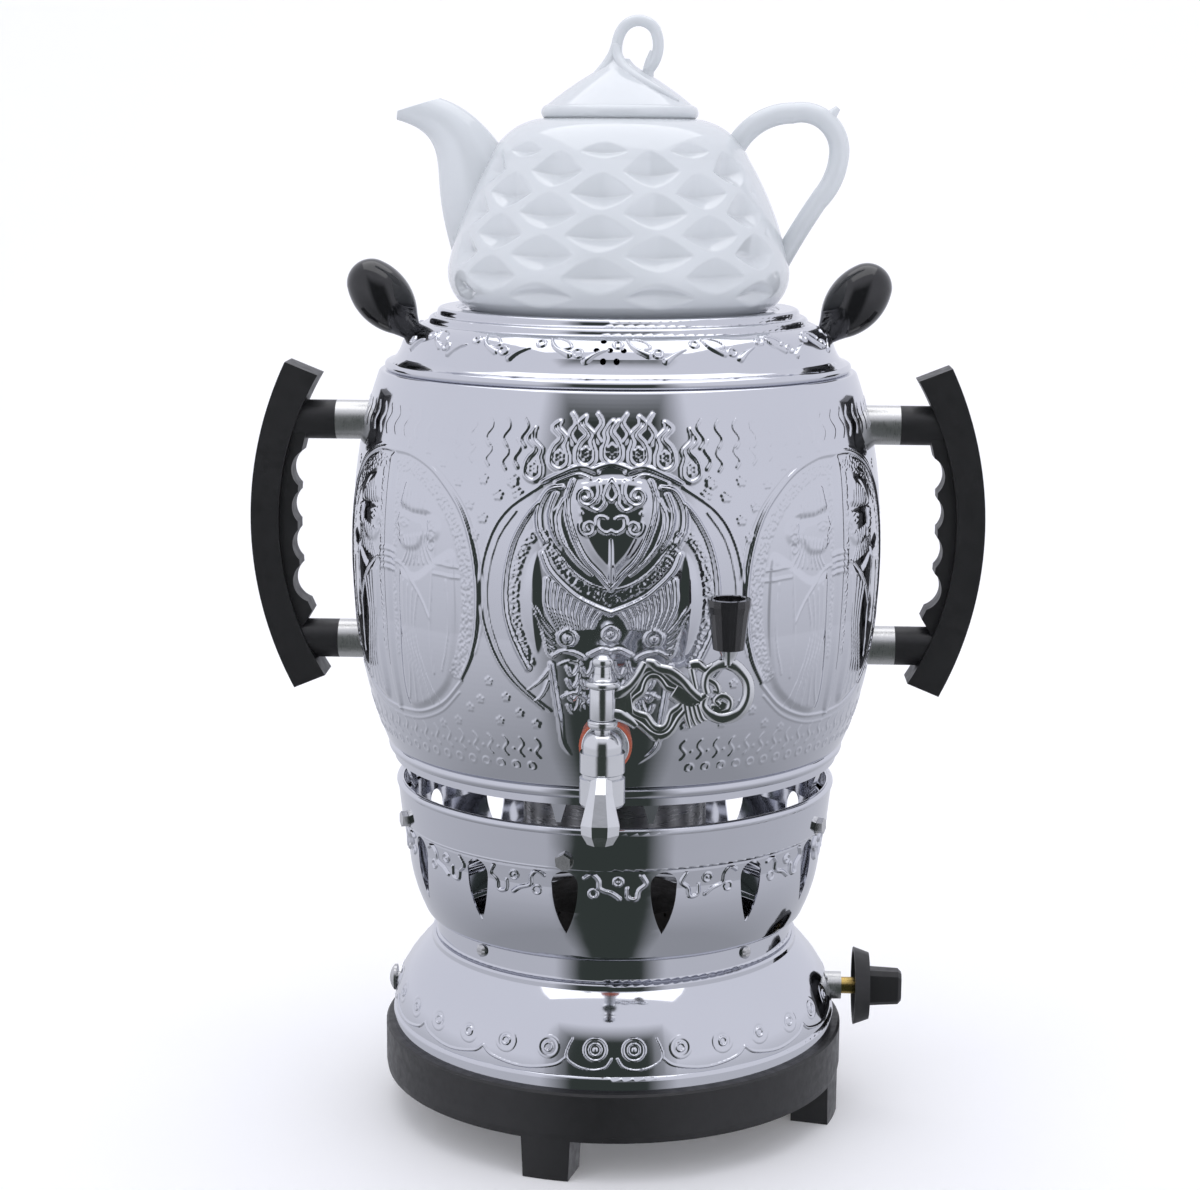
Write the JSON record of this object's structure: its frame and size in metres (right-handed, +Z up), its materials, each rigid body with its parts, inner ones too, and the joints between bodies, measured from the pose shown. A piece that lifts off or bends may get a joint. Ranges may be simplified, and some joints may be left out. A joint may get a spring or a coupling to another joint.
{
  "type": "samovar",
  "caption": "Gas samovar: embossed chrome tank on a pierced fire bowl, with front tap, side handles, gas knob and a porcelain teapot on the lid.",
  "frame": {"origin": "on the surface it stands on, under the middle of the tank", "axes": "+Z up, -Y towards the tap, +X towards the gas knob"},
  "size_m": [0.338, 0.2949, 0.5079],
  "materials": {
    "chrome": "bright chromed sheet steel",
    "tap_chrome": "chromed cast brass",
    "brushed_steel": "brushed",
    "plain_steel": "zinc plated",
    "aluminium": "drawn tube, satin",
    "brass": "turned",
    "cast_iron": "as cast",
    "black_plastic": "moulded phenolic, satin",
    "gloss_black": "polished phenolic",
    "red_silicone": "silicone",
    "porcelain": "white glaze"
  },
  "bodies": {
    "samovar": {"base_ring": "black_plastic", "base_skirt": "chrome", "neck_screws": "plain_steel", "gas_valve": "brass", "valve_collar": "aluminium", "gas_inlet_tail": "brass", "burner_body": "cast_iron", "burner_cap": "cast_iron", "burner_support_rod": "plain_steel", "support_rod_bolt": "plain_steel", "fire_bowl": "chrome", "bowl_band": "chrome", "band_bolts": "plain_steel", "tank_struts": "chrome", "tank_tabs": "chrome", "tank_ring": "chrome", "tank_bottom": "brushed_steel", "flame_skirt": "brushed_steel", "tank_shell": "chrome", "right_grip": "black_plastic", "left_grip": "black_plastic", "right_lower_spacer": "aluminium", "left_lower_spacer": "aluminium", "right_upper_spacer": "aluminium", "left_upper_spacer": "aluminium", "handle_studs": "plain_steel", "handle_nuts": "plain_steel", "tap_body": "tap_chrome", "tap_outer_seal": "red_silicone", "tap_inner_seal": "red_silicone", "tap_locknut": "tap_chrome", "tap_bonnet": "tap_chrome"},
    "samovar_lid": {"lid": "chrome", "left_lid_knob": "gloss_black", "right_lid_knob": "gloss_black", "lid_knob_bolts": "plain_steel"},
    "teapot": {"teapot_foot": "porcelain", "teapot_body": "porcelain", "teapot_shoulder": "porcelain", "teapot_spout": "porcelain", "teapot_handle": "porcelain"},
    "teapot_cover": {"teapot_lid": "porcelain"},
    "tap_handle": {"tap_plug": "tap_chrome", "tap_stem_ring": "tap_chrome", "tap_finial": "tap_chrome", "tap_lever": "tap_chrome", "tap_lever_knob": "gloss_black"},
    "gas_control": {"gas_stem": "brass", "gas_knob": "black_plastic"}
  },
  "joints": [
    {"name": "lid_lift", "type": "slide", "parent": "samovar", "child": "samovar_lid", "axis": [0, 0, 1], "range_m": [0, 0.06]},
    {"name": "teapot_lift", "type": "slide", "parent": "samovar_lid", "child": "teapot", "axis": [0, 0, 1], "range_m": [0, 0.08]},
    {"name": "teapot_lid_lift", "type": "slide", "parent": "teapot", "child": "teapot_cover", "axis": [0, 0, 1], "range_m": [0, 0.05]},
    {"name": "tap_turn", "type": "hinge", "parent": "samovar", "child": "tap_handle", "pos_m": [0, -0.15, 0.21], "axis": [0, 0, 1], "range_deg": [-90, 0]},
    {"name": "gas_turn", "type": "hinge", "parent": "samovar", "child": "gas_control", "pos_m": [0.08, 0, 0.056], "axis": [1, 0, 0], "range_deg": [0, 90]}
  ]
}
